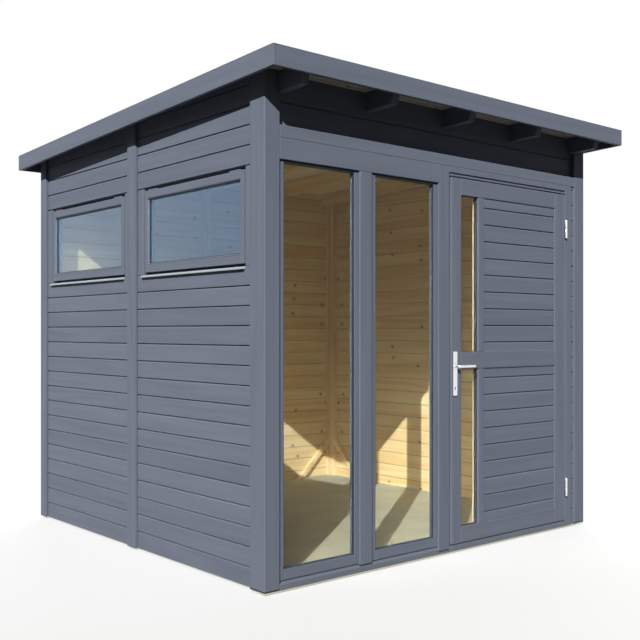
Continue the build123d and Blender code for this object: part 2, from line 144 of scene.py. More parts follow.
# %% Hang the lamps
def sun(name, travel, strength, spread, colour=(1, 1, 1)):
    """A distant lamp whose light travels along a direction."""
    lamp = bpy.data.lights.new(name, "SUN")
    lamp.energy = strength
    lamp.angle = radians(spread)
    lamp.color = colour
    holder = put_in_scene(name, lamp)
    holder.rotation_euler = Vector(travel).to_track_quat("-Z", "Y").to_euler()


sun("key", (1.257, 1.0, -0.93), 4.2, 0.35, (1.0, 0.985, 0.96))
sun("fill", (-0.8, -0.8, -0.5), 1.6, 50.0)
print("lamps", len(bpy.data.lights))

# %% [markdown]
# ## The floor
# The floor belongs to the studio, not to the building.  It is pale, and a little glow that only the eye
# sees lifts it to white, while the building's shadow stays on it.

# %% Lay the studio floor
FLOOR_GLOW = 0.44
TONE_TO_EYE, TONE_TO_LIGHT = 0.65, 0.06


def new_material(name):
    """A material with no nodes in it yet, and its node tree."""
    made = bpy.data.materials.new(name)
    made.use_nodes = True
    made.node_tree.nodes.clear()
    return made, made.node_tree


ground, tree = new_material("studio_floor")
seen = seen_directly(tree)
tone = math(tree, "MULTIPLY_ADD", seen, TONE_TO_EYE - TONE_TO_LIGHT, TONE_TO_LIGHT)
matt = add(tree, "BsdfDiffuse", {"Color": tone})
glow = math(tree, "MULTIPLY", seen, FLOOR_GLOW)
light = add(tree, "Emission", {"Color": (1, 1, 1, 1), "Strength": glow})
both = add(tree, "AddShader", {0: matt.outputs[0], 1: light.outputs[0]})
add(tree, "OutputMaterial", {"Surface": both.outputs[0]})

bm = bmesh.new()
bmesh.ops.create_grid(bm, x_segments=8, y_segments=8, size=60)
bmesh.ops.translate(bm, vec=(0, 0, cad_box[0].z - 0.001), verts=bm.verts)
sheet = bpy.data.meshes.new("studio_floor")
bm.to_mesh(sheet)
bm.free()
sheet.materials.append(ground)
floor = put_in_scene("studio_floor", sheet)
print("floor", len(sheet.polygons), "faces")

# %% [markdown]
# ## Patterns that several finishes share
# Planed timber shows fine fibres and broad flame figures, both drawn out along the grain.  Smooth
# noise that is squeezed across the grain gives the fibres, and a sine of slow noise gives the flames.
# Each pattern is a node group, made once and placed in each finish with its own values.

# %% Grain of planed timber
def new_group(name, inputs, outputs):
    """An empty shader node group with named number sockets, and its two end nodes."""
    made = bpy.data.node_groups.new(name, "ShaderNodeTree")
    for label, kind in inputs:
        made.interface.new_socket(label, in_out="INPUT", socket_type=kind)
    for label in outputs:
        made.interface.new_socket(label, in_out="OUTPUT", socket_type="NodeSocketFloat")
    return made, made.nodes.new("NodeGroupInput").outputs, made.nodes.new("NodeGroupOutput").inputs


def noise(tree, place, scale, detail):
    """Smooth noise at a place, about 0.5 on average."""
    return add(tree, "TexNoise", {"Vector": place, "Scale": scale, "Detail": detail}).outputs[0]


def spread(tree, value, low, high, to_low=0.0, to_high=1.0):
    """Map a range of values to another, clamped."""
    values = {"Value": value, "From Min": low, "From Max": high, "To Min": to_low, "To Max": to_high}
    return add(tree, "MapRange", values).outputs[0]


FLOAT, VECTOR = "NodeSocketFloat", "NodeSocketVector"
SEED_STEP, RINGS = 7.31, 46.0
grain, given, result = new_group(
    "timber_grain", [("Vector", VECTOR), ("Board", FLOAT)], ["Fibre", "Flame"]
)
seed = math(grain, "MULTIPLY", given["Board"], SEED_STEP)
fine = {"Vector": given["Vector"], "W": seed, "Scale": 1.0, "Detail": 4.0, "Roughness": 0.62}
slow = {"Vector": given["Vector"], "W": seed, "Scale": 0.16, "Detail": 1.5, "Roughness": 0.5}
fibre = add(grain, "TexNoise", fine, noise_dimensions="4D").outputs[0]
flame = add(grain, "TexNoise", slow, noise_dimensions="4D").outputs[0]
rings = math(grain, "SINE", math(grain, "MULTIPLY", flame, RINGS))
grain.links.new(fibre, result["Fibre"])
grain.links.new(math(grain, "MULTIPLY_ADD", rings, 0.5, 0.5), result["Flame"])
print("group", grain.name)

# %% [markdown]
# A wall of boards looks real when no two boards are alike.  The height on the wall, divided by the
# width of a board, gives each board a number, and noise from that number gives it a tone of its own.

# %% Number the boards
board_number, given, result = new_group(
    "board_number", [("Across", FLOAT), ("First", FLOAT), ("Pitch", FLOAT)], ["Board", "Tone"]
)
above_first = math(board_number, "SUBTRACT", given["Across"], given["First"])
number = math(board_number, "FLOOR", math(board_number, "DIVIDE", above_first, given["Pitch"]))
chance = add(board_number, "TexWhiteNoise", {"W": number}, noise_dimensions="1D").outputs[0]
board_number.links.new(number, result["Board"])
board_number.links.new(math(board_number, "SUBTRACT", chance, 0.5), result["Tone"])
print("group", board_number.name)

# %% [markdown]
# Spruce boards have knots: small brown spots with a paler halo, at random places along a board.  Cells
# of a Voronoi texture that are one board high hold one spot each, and chance leaves many cells empty.
# The distance from a spot is turned back into metres, so that core and halo have real sizes.

# %% Knots
knots, given, result = new_group("knots", [("Along", FLOAT), ("Across", FLOAT)], ["Knot", "Halo"])
BOARD = 0.0905
CELLS_PER_METRE, DRAWN_OUT, EMPTY_SHARE = 3.4, 0.75, 0.7
CORE, HALO = (0.0085, 0.0045), (0.022, 0.006)
cell = add(knots, "CombineXYZ", {
    0: math(knots, "MULTIPLY", given["Along"], CELLS_PER_METRE),
    1: math(knots, "MULTIPLY", given["Across"], 1 / BOARD),
}).outputs[0]
placed = {"Vector": cell, "Scale": 1.0, "Randomness": 0.8}
spots = add(knots, "TexVoronoi", placed, voronoi_dimensions="2D")
step = {0: cell, 1: spots.outputs["Position"]}
away = add(knots, "VectorMath", step, operation="SUBTRACT").outputs[0]
true_size = (DRAWN_OUT / CELLS_PER_METRE, BOARD, 0.0)
away = add(knots, "VectorMath", {0: away, 1: true_size}, operation="MULTIPLY").outputs[0]
radius = add(knots, "VectorMath", {0: away}, operation="LENGTH").outputs["Value"]
luck = add(knots, "SeparateColor", {0: spots.outputs["Color"]}).outputs[0]
present = math(knots, "GREATER_THAN", luck, EMPTY_SHARE)
for label, (start, full) in (("Knot", CORE), ("Halo", HALO)):
    knots.links.new(math(knots, "MULTIPLY", spread(knots, radius, start, full), present), result[label])
print("group", knots.name)

# %% [markdown]
# Outdoor timber is dirtiest at its foot, where rain splashes.  This group fades upwards from the
# ground and is broken up by noise, and the finishes mix a dust colour in by it.

# %% Splashed dirt
SPLASH_HEIGHT = 0.34
splash, given, result = new_group("splash", [("Vector", VECTOR)], ["Dirt"])
height = add(splash, "SeparateXYZ", {0: given["Vector"]}).outputs[2]
cloud = noise(splash, given["Vector"], 9.0, 5.0)
fade = math(splash, "POWER", spread(splash, height, SPLASH_HEIGHT, 0.0), 2.0)
splash.links.new(math(splash, "MULTIPLY", fade, spread(splash, cloud, 0.35, 0.7)), result["Dirt"])
print("group", splash.name)

# %% [markdown]
# ## Timber finishes
# Knots and dirt are laid over a colour in the same way: a share from 0 to 1, and a colour to turn to.
# These small helpers take a colour and give one back, so that a recipe can chain them.  The last one
# ends every opaque recipe.

# %% Colours over colours
KNOT_BROWN, HALO_BROWN, DUST = (0.26, 0.11, 0.04), (0.42, 0.20, 0.07), (0.24, 0.24, 0.24)
KNOT_SHARE, HALO_SHARE = 0.8, 0.3


def blend_colours(tree, share, first, second):
    """One colour turned into another by a share; a plain colour is three numbers."""
    ends = [end if isinstance(end, bpy.types.NodeSocket) else (*end, 1) for end in (first, second)]
    return add(tree, "Mix", {0: share, 6: ends[0], 7: ends[1]}, data_type="RGBA").outputs[2]


def with_knots(tree, colour, along, across):
    """A halo and a darker core at each knot."""
    found = add(tree, "Group", {"Along": along, "Across": across}, node_tree=knots).outputs
    colour = blend_colours(tree, math(tree, "MULTIPLY", found["Halo"], HALO_SHARE), colour, HALO_BROWN)
    return blend_colours(tree, math(tree, "MULTIPLY", found["Knot"], KNOT_SHARE), colour, KNOT_BROWN)


def with_dirt(tree, colour, place, dirt):
    """Dust near the ground."""
    found = add(tree, "Group", {"Vector": place}, node_tree=splash).outputs
    return blend_colours(tree, math(tree, "MULTIPLY", found["Dirt"], dirt), colour, DUST)


def coat(tree, surface, height, relief):
    """End a material in one opaque surface with fine relief."""
    bump = add(tree, "Bump", {"Strength": 1.0, "Distance": relief, "Height": height}).outputs[0]
    body = add(tree, "BsdfPrincipled", {**surface, "Normal": bump})
    add(tree, "OutputMaterial", {"Surface": body.outputs[0]})


print("dust", DUST)

# %% [markdown]
# One recipe serves paint and bare spruce: two tones mixed by fibre, by flame and by the board's own
# tone, then knots where the timber is bare, then dirt.  The grain must run along each piece, so a finish
# is made for each direction.  Squeezing the Object coordinates across the grain does this.

# %% The timber recipe
STRETCH = {"X": (1.9, 36.0, 36.0), "Y": (36.0, 1.9, 36.0), "Z": (36.0, 36.0, 1.9)}
FIBRE_RELIEF, BRUSH_RELIEF = 0.00025, 0.00004


def timber(name, grain_axis, tones, board=None, weights=(0.9, 0.25, 0.3), knotty=None, dirt=0.0,
           shine=(0.5, 0.66), sheen=0.1):
    """A timber finish; board is (axis, first joint, pitch) where the piece is made of many boards."""
    made, tree = new_material(name)
    place = add(tree, "TexCoord").outputs["Object"]
    parts = dict(zip("XYZ", add(tree, "SeparateXYZ", {0: place}).outputs))
    drawn = add(tree, "Mapping", {"Vector": place, "Scale": STRETCH[grain_axis]}).outputs[0]
    figure = add(tree, "Group", {"Vector": drawn}, node_tree=grain)
    fibre, flame = figure.outputs["Fibre"], figure.outputs["Flame"]
    by_fibre, by_flame, by_board = weights
    mixed = math(tree, "MULTIPLY_ADD", fibre, by_fibre, 0.5 - by_fibre / 2)
    mixed = math(tree, "MULTIPLY_ADD", flame, by_flame, mixed)
    if board:
        place_on_wall = {"Across": parts[board[0]], "First": board[1], "Pitch": board[2]}
        counted = add(tree, "Group", place_on_wall, node_tree=board_number).outputs
        tree.links.new(counted["Board"], figure.inputs["Board"])
        mixed = math(tree, "MULTIPLY_ADD", counted["Tone"], by_board, mixed)
    colour = blend_colours(tree, mixed, *tones)
    if knotty:
        colour = with_knots(tree, colour, *(parts[axis] for axis in knotty))
    if dirt:
        colour = with_dirt(tree, colour, place, dirt)
    rough = spread(tree, fibre, 0.2, 0.8, shine[1], shine[0])
    surface = {"Base Color": colour, "Roughness": rough, "Specular IOR Level": sheen}
    coat(tree, surface, fibre, FIBRE_RELIEF)
    return made


print("grain directions", *STRETCH)

# %% [markdown]
# The building has one paint and one bare timber.  Each comes in the directions that are needed, and
# once more for the walls, where every board gets a tone of its own.  Darker finishes are painted shade
# in rebates and deep joints, paler deck spruce and sill paint are partly painted light, and one is for
# bearers.

# %% Timber finishes
FIRST_JOINT = 0.096
PAINT = (0.139, 0.160, 0.207), (0.193, 0.220, 0.284)
SPRUCE = (0.76, 0.455, 0.145), (0.95, 0.80, 0.475)
wall_rows = ("Z", FIRST_JOINT, BOARD)
even = {"weights": (0.7, 0.2, 0.0)}
bare = {"shine": (0.5, 0.7), "weights": (0.7, 0.3, 0.22), "sheen": 0.25}
paint = {axis: timber("paint_" + axis.lower(), axis, PAINT, dirt=0.12, **even) for axis in "XYZ"}
spruce = {axis: timber("spruce_" + axis.lower(), axis, SPRUCE, **bare) for axis in "XYZ"}
paint_boards, spruce_boards = {}, {}
for axis in "XY":
    paint_boards[axis] = timber("painted_boards_" + axis.lower(), axis, PAINT, wall_rows, dirt=0.12)
    spruce_boards[axis] = timber(
        "spruce_boards_" + axis.lower(), axis, SPRUCE, wall_rows, knotty=axis + "Z", **bare
    )
# Painted light: the roof deck takes a paler copy of the spruce, which lightens the shaded soffit as if
# light were thrown up from the ground.
spruce_lightened_for_bounce = (0.82, 0.66, 0.44), (1.0, 0.92, 0.74)
spruce_deck = timber("spruce_roof_deck", "X", spruce_lightened_for_bounce, ("Y", 0.0, BOARD), knotty="XY", **bare)
# Painted shade: dark brown for the faces deep in the slots between wall boards.
joint_shade = timber("spruce_painted_joint_shade", "X", ((0.085, 0.045, 0.018), (0.15, 0.08, 0.03)))
weathered = timber("weathered_softwood", "X", ((0.52, 0.51, 0.41), (0.80, 0.78, 0.63)), **bare)
# Painted shade: a near-black paint for the rebates behind glass, standing in for the shade deep in them.
deep_shade_paint = timber("painted_deep_shade", "Z", ((0.030, 0.034, 0.044), (0.050, 0.056, 0.072)))
# Painted shade: a dark blue-grey paint that makes the reveals by the tall panes look shaded though the
# sun reaches them.
rebate = timber("rebate_paint_painted_shade", "Z", ((0.060, 0.080, 0.100), (0.088, 0.114, 0.140)), **even)
# Partly painted light: the sill paint is its own pale grey, made paler still as a painted highlight of
# the light its sloping top catches.
sill_paint_with_highlight = timber(
    "sill_paint_partly_painted_highlight", "Y", ((0.40, 0.46, 0.49), (0.54, 0.60, 0.63)), weights=(0.5, 0.1, 0.0)
)
print("timber finishes", len(bpy.data.materials) - 1)

# %% [markdown]
# ## Glass, metal, felt and rubber
# Window glass must let the lamps into the room, so its shader is swapped for a transparent one on
# shadow rays.  The tall panes are nearly free of reflections and show the room.  The high side panes
# carry a painted reflection: their glass and what it reflects are tinted blue, as under a clear sky,
# though the sky here is white.

# %% Glass
def glass(name, tint, through, index, sky_reflection_tint=(1, 1, 1)):
    """Clear glass that lets the light of lamps pass; index sets its reflections, and the last tint
    paints a sky's colour on them.
    """
    made, tree = new_material(name)
    place = add(tree, "TexCoord").outputs["Object"]
    rough = spread(tree, noise(tree, place, 3.0, 4.0), 0.45, 0.75, 0.0, 0.006)
    pane = {
        "Base Color": (*tint, 1), "Roughness": rough, "IOR": index,
        "Transmission Weight": 1.0, "Specular Tint": (*sky_reflection_tint, 1),
    }
    clear = add(tree, "BsdfPrincipled", pane)
    passing = add(tree, "BsdfTransparent", {"Color": (*through, 1)})
    shadow = add(tree, "LightPath").outputs["Is Shadow Ray"]
    swapped = add(tree, "MixShader", {0: shadow, 1: clear.outputs[0], 2: passing.outputs[0]})
    add(tree, "OutputMaterial", {"Surface": swapped.outputs[0]})
    return made


def glaze(node, finish):
    """Put a glass finish on a pane of the CAD model."""
    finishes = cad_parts[node].data.materials
    finishes.clear()
    finishes.append(finish)


clear_glass = glass("clear_glass", (0.97, 0.985, 0.975), (0.97, 0.98, 0.97), 1.18)
# Painted reflection: the side panes' blue tint and blue reflection tint paint in a blue sky that the
# white world lacks.
side_glass = glass("side_window_glass", (0.64, 0.80, 0.94), (0.86, 0.90, 0.94), 2.1, (0.16, 0.50, 1.0))
print("glass", clear_glass.name, side_glass.name)

# %% [markdown]
# Metal fittings are bright, but never even: rolling and polishing leave fine marks in one direction.
# Stretched noise turns a little of the tone and of the roughness, so that reflections are drawn out.

# %% Metal
def metal(name, colour, stretch, shine):
    """Brushed metal; stretch is small along the brush marks."""
    made, tree = new_material(name)
    place = add(tree, "TexCoord").outputs["Object"]
    drawn = add(tree, "Mapping", {"Vector": place, "Scale": stretch}).outputs[0]
    marks = noise(tree, drawn, 1.0, 3.0)
    tone = blend_colours(tree, spread(tree, marks, 0.3, 0.7), [v * 0.93 for v in colour], colour)
    rough = spread(tree, marks, 0.25, 0.75, *shine)
    coat(tree, {"Base Color": tone, "Metallic": 1.0, "Roughness": rough}, marks, BRUSH_RELIEF)
    return made


zinc = metal("zinc_plate", (0.86, 0.87, 0.89), (900, 900, 60), (0.20, 0.32))
alloy = metal("satin_alloy", (0.84, 0.85, 0.86), (60, 700, 900), (0.22, 0.36))
print("metal", zinc.name, alloy.name)

# %% [markdown]
# Felt, its cut edge, rubber and the floor sheet are matt and finely grained.  One recipe with small
# cells serves them all, because only the size of the grain and the two colours differ.

# %% Felt, rubber and floor sheet
def speckled(name, dark, pale, scale, shine, relief):
    """A grainy surface: mineral felt, rubber or a mottled floor."""
    made, tree = new_material(name)
    place = add(tree, "TexCoord").outputs["Object"]
    grit = add(tree, "TexVoronoi", {"Vector": place, "Scale": scale}).outputs["Color"]
    grit = add(tree, "SeparateColor", {0: grit}).outputs[0]
    mixed = math(tree, "MULTIPLY_ADD", grit, 0.6, -0.25)
    mixed = math(tree, "MULTIPLY_ADD", noise(tree, place, 4.0, 5.0), 0.9, mixed)
    tone = blend_colours(tree, mixed, dark, pale)
    coat(tree, {"Base Color": tone, "Roughness": spread(tree, grit, 0, 1, *shine)}, grit, relief)
    return made


felt = speckled("roofing_felt", (0.022, 0.024, 0.028), (0.085, 0.088, 0.096), 620, (0.75, 0.95), 0.0006)
# Partly painted light: the felt's edge is its own grey, made paler as a painted highlight along the
# fascias' tops.
felt_edge = speckled("felt_edge_partly_painted_highlight", (0.20, 0.21, 0.235), (0.30, 0.31, 0.345), 620, (0.7, 0.9), 0.0003)
rubber = speckled("black_rubber", (0.012, 0.012, 0.013), (0.022, 0.022, 0.024), 900, (0.5, 0.65), 0.0001)
floor_sheet = speckled(
    "pale_floor_sheet", (0.35, 0.345, 0.25), (0.62, 0.605, 0.455), 260, (0.6, 0.8), 0.0002
)
print("grainy finishes", felt.name, rubber.name, floor_sheet.name)

# %% [markdown]
# ## Tools for making pieces
# A piece is a mesh that rides on a CAD body and may stand for CAD nodes.  Most pieces stay flat between
# their edges.  Round ones, such as the lever, are shaded smoothly up to a given bend.

# %% Make pieces
def piece(name, made, finishes, stands_for=(), body="cabin", slot="painted_timber", rounded=None):
    """Turn a bmesh into a piece that rides on a body; rounded is the bend that still shades smoothly."""
    bmesh.ops.recalc_face_normals(made, faces=made.faces)
    for edge in made.edges:
        sharp = len(edge.link_faces) != 2 or edge.calc_face_angle(0) > radians(rounded or 0)
        edge.smooth = not sharp
    for face in made.faces:
        face.smooth = rounded is not None
    mesh = bpy.data.meshes.new(name)
    made.to_mesh(mesh)
    made.free()
    for finish in finishes:
        mesh.materials.append(finish)
    thing = put_in_scene(name, mesh)
    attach(thing, body)
    if stands_for:
        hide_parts(*stands_for)
    print(name, len(mesh.polygons), "faces")


def choose_finish(made, rule):
    """Number the finish of each face by a rule on its middle."""
    for side in made.faces:
        side.material_index = int(rule(side.calc_center_median()))


print("piece tools ready")

# %% [markdown]
# Most pieces here are planks with their edges taken off, so the main tool makes one plank: a cube,
# sized, placed and bevelled.  Each plank says which finish its faces use, because its grain runs along
# its length.

# %% Make planks
def edges_at(corners):
    """All the edges that meet at some vertices."""
    return list({edge for corner in corners for edge in corner.link_edges})


def block(made, low, high):
    """A box between two corners; its vertices are given back."""
    low, high = Vector(low), Vector(high)
    corners = bmesh.ops.create_cube(made, size=1.0)["verts"]
    bmesh.ops.scale(made, vec=high - low, verts=corners)
    bmesh.ops.translate(made, vec=(low + high) / 2, verts=corners)
    return corners


def soften(made, edges, arris, segments=2):
    """Take the sharpness off some edges."""
    bmesh.ops.bevel(made, geom=edges, offset=arris, offset_type="OFFSET", segments=segments,
                    profile=0.5, affect="EDGES", clamp_overlap=True, material=-1)


def plank(made, low, high, finish=0, arris=0.002, segments=2):
    """One square-cut timber between two corners, with its edges taken off; its faces are given back."""
    known = set(made.faces)
    soften(made, edges_at(block(made, low, high)), arris, segments)
    fresh = [face for face in made.faces if face not in known]
    for face in fresh:
        face.material_index = finish
    return fresh


print("plank tools ready")

# %% [markdown]
# A CAD node whose shape is right only needs its edges taken off.  Its mesh is loose triangles, so a
# copy is merged, its flat faces are joined, and the outer edges are bevelled.  A plane can split such
# a mesh, or take off all that lies beyond it.

# %% Work a copy of a CAD node
def worked(node, arris=0.002, segments=2, least=30):
    """A merged copy of a CAD node; outer edges that bend by more than least degrees are rounded."""
    made = bmesh.new()
    made.from_mesh(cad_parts[node].data)
    bmesh.ops.remove_doubles(made, verts=made.verts, dist=0.00001)
    bmesh.ops.dissolve_limit(made, angle_limit=radians(1), verts=made.verts, edges=made.edges)
    outer = [edge for edge in made.edges if len(edge.link_faces) == 2
             and edge.is_convex and edge.calc_face_angle(0) > radians(least)]
    soften(made, outer, arris, segments)
    for face in made.faces:
        face.material_index = 0
    return made


def only(kind, geometry):
    """The items of one kind in mixed geometry."""
    return [item for item in geometry if isinstance(item, kind)]


def split(made, point, normal, clear_outer=False):
    """Add edges where a plane passes through a mesh, and give them back."""
    everything = made.verts[:] + made.edges[:] + made.faces[:]
    done = bmesh.ops.bisect_plane(made, geom=everything, plane_co=point, plane_no=normal,
                                  dist=0.000001, clear_outer=clear_outer)
    return only(BMEdge, done["geom_cut"])


def cut(made, point, normal):
    """Take off all that lies beyond a plane and close the cut."""
    bmesh.ops.holes_fill(made, edges=split(made, point, normal, clear_outer=True), sides=0)


print("cutters ready")

# %% [markdown]
# ## The wall boards
# The walls are tongued and grooved boards, each 90.5 mm high, laid from the ground up.  Only the gap
# between two boards shows: a small chamfer on top of each board and a lip that hangs over it.  One
# outline of a board is drawn, pushed along the wall, and repeated for each row.  The roof's slope cuts
# the top rows, and the windows are exactly five boards high, so rows beside them are simply short.

# %% Measure the roof's slope
front_panel, back_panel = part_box("left_wall_front_panel"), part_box("left_wall_back_panel")
FALL = (front_panel[1].z - back_panel[1].z) / (back_panel[0].y - front_panel[0].y)


def under_roof(y):
    """Height of the underside of the roof boards."""
    return front_panel[1].z - (y - front_panel[0].y) * FALL


def trim_to_roof(made):
    """Take off all that would stand in the roof boards."""
    cut(made, Z * under_roof(0.0), Vector((0, FALL, 1)))


print("roof falls", round(FALL, 4), "to one")

# %% [markdown]
# The outline of a board is the one shape here that is written down point by point, because it is a
# section from a planing machine: a lip in front, a small chamfer on top, and a V on the room's side.

# %% Shape of a board
THICK = 0.019
LIP, GAP, CHAMFER, VEE = 0.009, 0.0050, 0.0036, 0.0035
PAINTED_DEPTH = LIP + 0.001
OUTLINE = [
    (0.0, GAP + 0.0012), (0.0012, GAP), (LIP, GAP), (LIP, 0.0), (THICK - VEE, 0.0), (THICK, VEE),
    (THICK, BOARD - VEE), (THICK - VEE, BOARD - 0.0016), (THICK - VEE - 0.004, BOARD - 0.0016),
    (THICK - VEE - 0.004, BOARD + 0.0003), (CHAMFER + 0.0008, BOARD + 0.0003),
    (0.0006, BOARD - CHAMFER - 0.0004), (0.0, BOARD - CHAMFER - 0.0016),
]


def lay_board(made, start, inward, along, length, up=Z, outline=OUTLINE):
    """Push the outline of a board along the wall."""
    rim = [made.verts.new(start + inward * depth + up * rise) for depth, rise in outline]
    grown = bmesh.ops.extrude_face_region(made, geom=[made.faces.new(rim)])["geom"]
    bmesh.ops.translate(made, vec=along * length, verts=only(BMVert, grown))


print("board outline", len(OUTLINE), "corners")

# %% [markdown]
# A panel is laid row by row, with one row too many at the bottom and at the top, and then trimmed at the
# foot and under the roof.  How deep a face lies behind the front tells which finish it takes.

# %% Lay a wall panel
def board_wall(node, face_point, inward, along, finishes, hole=None):
    """All the boards of one wall panel; hole is the low and the high corner of a window."""
    low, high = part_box(node)
    begin, end = low.dot(along), high.dot(along)
    made = bmesh.new()
    for row in range(-1, int((high.z - FIRST_JOINT) / BOARD) + 2):
        base = FIRST_JOINT + row * BOARD
        runs = [(begin, end)]
        if hole and hole[0].z < base + BOARD / 2 < hole[1].z:
            runs = [(begin, hole[0].dot(along)), (hole[1].dot(along), end)]
        for first, last in runs:
            start = inward * inward.dot(face_point) + along * first + Z * base
            lay_board(made, start, inward, along, last - first)
    cut(made, Z * low.z, -Z)
    trim_to_roof(made)

    # Faces deep in a slot take the third finish, which is painted shade.
    def by_depth(middle):
        depth = (middle - face_point).dot(inward)
        return 0 if depth < PAINTED_DEPTH else 1 if depth > THICK - VEE else 2

    choose_finish(made, by_depth)
    piece(node + "_boards", made, finishes, [node])


print("wall tool ready")

# %% [markdown]
# Each panel of the CAD model gets its own boards, so that every node keeps its counterpart.  Rows beside
# a window stop at its casings.  Faces on the room's side are bare spruce, with painted shade in dark
# brown deep in the slots between the boards, and all others are painted.

# %% Board the walls
OPENING = FIRST_JOINT + 15 * BOARD, FIRST_JOINT + 20 * BOARD
side_finishes = [paint_boards["Y"], spruce_boards["Y"], joint_shade]
back_finishes = [paint_boards["X"], spruce_boards["X"], joint_shade]
for end_name in ("front", "back"):
    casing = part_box(f"side_window_{end_name}_frame")
    window = [Vector((0, corner.y, z)) for corner, z in zip(casing, OPENING)]
    left_node, right_node = f"left_wall_{end_name}_panel", f"right_wall_{end_name}_panel"
    board_wall(left_node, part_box(left_node)[0], X, Y, side_finishes, window)
    board_wall(right_node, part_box(right_node)[1], -X, Y, side_finishes)
for node in ("back_wall_left_panel", "back_wall_right_panel"):
    board_wall(node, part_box(node)[1], -Y, X, back_finishes)

# %% [markdown]
# Over the header two wider boards close the front wall up to the roof.  They keep the lip, the chamfer
# and the V of the others, and only the flat middle of the outline is drawn out.

# %% Board the head of the front wall
HEAD_JOINT = 2.184


def stretched(extra):
    """The outline of a board that is wider by some metres."""
    return [(depth, rise + extra * (rise > BOARD / 2)) for depth, rise in OUTLINE]


low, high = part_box("front_head_boards")
made = bmesh.new()
for base, extra in ((low.z, HEAD_JOINT - low.z - BOARD), (HEAD_JOINT, 0.06)):
    start = Vector((low.x, low.y, base))
    lay_board(made, start, Y, X, high.x - low.x, outline=stretched(extra))
trim_to_roof(made)
choose_finish(made, lambda middle: middle.y > low.y + PAINTED_DEPTH)
piece("front_head_boarding", made, [paint["X"], spruce["X"]], ["front_head_boards"])

# %% [markdown]
# Narrow ends of the wall boards also show in the groove between the door's jamb and the right-hand
# post.  Only the front half of the outline is needed there, and it gets a flat back.

# %% Board ends beside the door
JAMB_EDGE, SET_BACK, CLEARANCE, ROWS = 1.059, 0.008, 0.0028, 24
FLAT_BACK = LIP + 0.0006
post_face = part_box("corner_post_front_right")[0].y
frame_low, frame_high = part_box("door_frame")
shallow = OUTLINE[:4] + [(FLAT_BACK, 0.0), (FLAT_BACK, BOARD - 0.0003)] + OUTLINE[-3:]
made = bmesh.new()
for row in range(-1, ROWS - 1):
    start = Vector((JAMB_EDGE, post_face + SET_BACK, FIRST_JOINT + row * BOARD))
    lay_board(made, start, Y, X, frame_high.x - CLEARANCE - JAMB_EDGE, outline=shallow)
cut(made, Z * frame_low.z, -Z)
cut(made, Z * frame_high.z, Z)
piece("board_ends_by_the_door", made, [paint_boards["X"]])

# %% [markdown]
# ## Posts, mullions and beams
# These are planed timbers with softened arrises.  Posts and strips have upright grain, beams and
# fascias have grain along their run.  Faces that look into the room are left as bare spruce.  The feet
# of the front posts and of the centre mullion are lifted a little, which leaves room for black pads that
# are painted shade under them.

# %% Dress the plain timbers
SHADE_PAD = 0.006


def dress(node, axis, arris=0.0025, inside=None, raised=0.0):
    """A worked copy of a node in paint; faces in the room that look along inside stay bare."""
    made = worked(node, arris)
    foot = min(corner.co.z for corner in made.verts)
    lifted = [corner for corner in made.verts if corner.co.z < foot + 0.01]
    bmesh.ops.translate(made, vec=Z * raised, verts=lifted)
    for side in made.faces:
        side.normal_update()
        indoors = abs(side.calc_center_median().x) < abs(front_panel[0].x)
        if inside is not None and indoors and side.normal.dot(inside) > 0.9:
            side.material_index = 1
    piece(node + "_worked", made, [paint[axis], spruce[axis]], [node])


for hand in ("left", "right"):
    dress("corner_post_front_" + hand, "Z", 0.003, Y, raised=SHADE_PAD)
dress("mullion_centre", "Z", 0.003, Y, raised=0.002)
strips = [wall + "_cover_strip" for wall in ("left", "right", "back")]
for node in ("corner_post_back_left", "corner_post_back_right", *strips):
    dress(node, "Z", 0.003)
for node in ("window_head_board", "header_beam", "front_base_board"):
    dress(node, "X", 0.0025, Y)

# %% [markdown]
# The mullion beside the door has a rebate that stops at the groove over the door, so its worked copy
# gets a small block above that.

# %% Finish the mullion by the door
GROOVE, FILL_WIDTH, FILL_DEPTH = 0.023, 0.0125, 0.012
m_low, m_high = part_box("mullion_door")
leaf_low, leaf_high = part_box("door_leaf_frame")
made = worked("mullion_door", 0.003)
fill_low = (m_high.x - FILL_WIDTH, m_low.y + 0.0001, leaf_high.z + GROOVE)
plank(made, fill_low, (m_high.x, m_low.y + FILL_DEPTH, m_high.z), 0, 0.0006, 1)
piece("mullion_door_worked", made, [paint["Z"], spruce["Z"]], ["mullion_door"])

# %% [markdown]
# Black pads lie under the feet of both mullions and of the front posts.  They are painted shade: they
# darken the gap under each foot.  The posts are L-shaped, so each of them has one pad in front and a
# second one that runs back under its side.

# %% Lay the foot pads
INSET, LEG, BEND = 0.001, 0.016, 0.05
c_low, c_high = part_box("mullion_centre")
shade_pads = [((c_low.x + INSET, c_low.y + 0.0012, c_low.z - 0.0052),
         (c_high.x - INSET, c_low.y + 0.007, c_low.z + 0.0024)),
        ((m_low.x + INSET, m_low.y + 0.002, m_low.z - 0.0065),
         (m_high.x - 0.013, m_low.y + 0.009, m_low.z + 0.0004))]
for hand in ("left", "right"):
    low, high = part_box("corner_post_front_" + hand)
    foot, top, bend = low.z + 0.0003, low.z + SHADE_PAD + 0.0003, low.y + BEND
    side = low.x + INSET if hand == "left" else high.x - INSET - LEG
    shade_pads.append(((low.x + INSET, low.y + INSET, foot), (high.x - INSET, bend, top)))
    shade_pads.append(((side, bend, foot), (side + LEG, high.y - INSET, top)))
made = bmesh.new()
for corners in shade_pads:
    plank(made, *corners, 0, 0.0005, 1)
piece("foot_pads_painted_shade", made, [rubber], slot="window_glass")

# %% [markdown]
# ## The side windows
# Each high window is a sash between two upright casings.  Stiles and rails are separate planks, so the
# joints and the turn of the grain show.  This helper lays four planks round an opening.

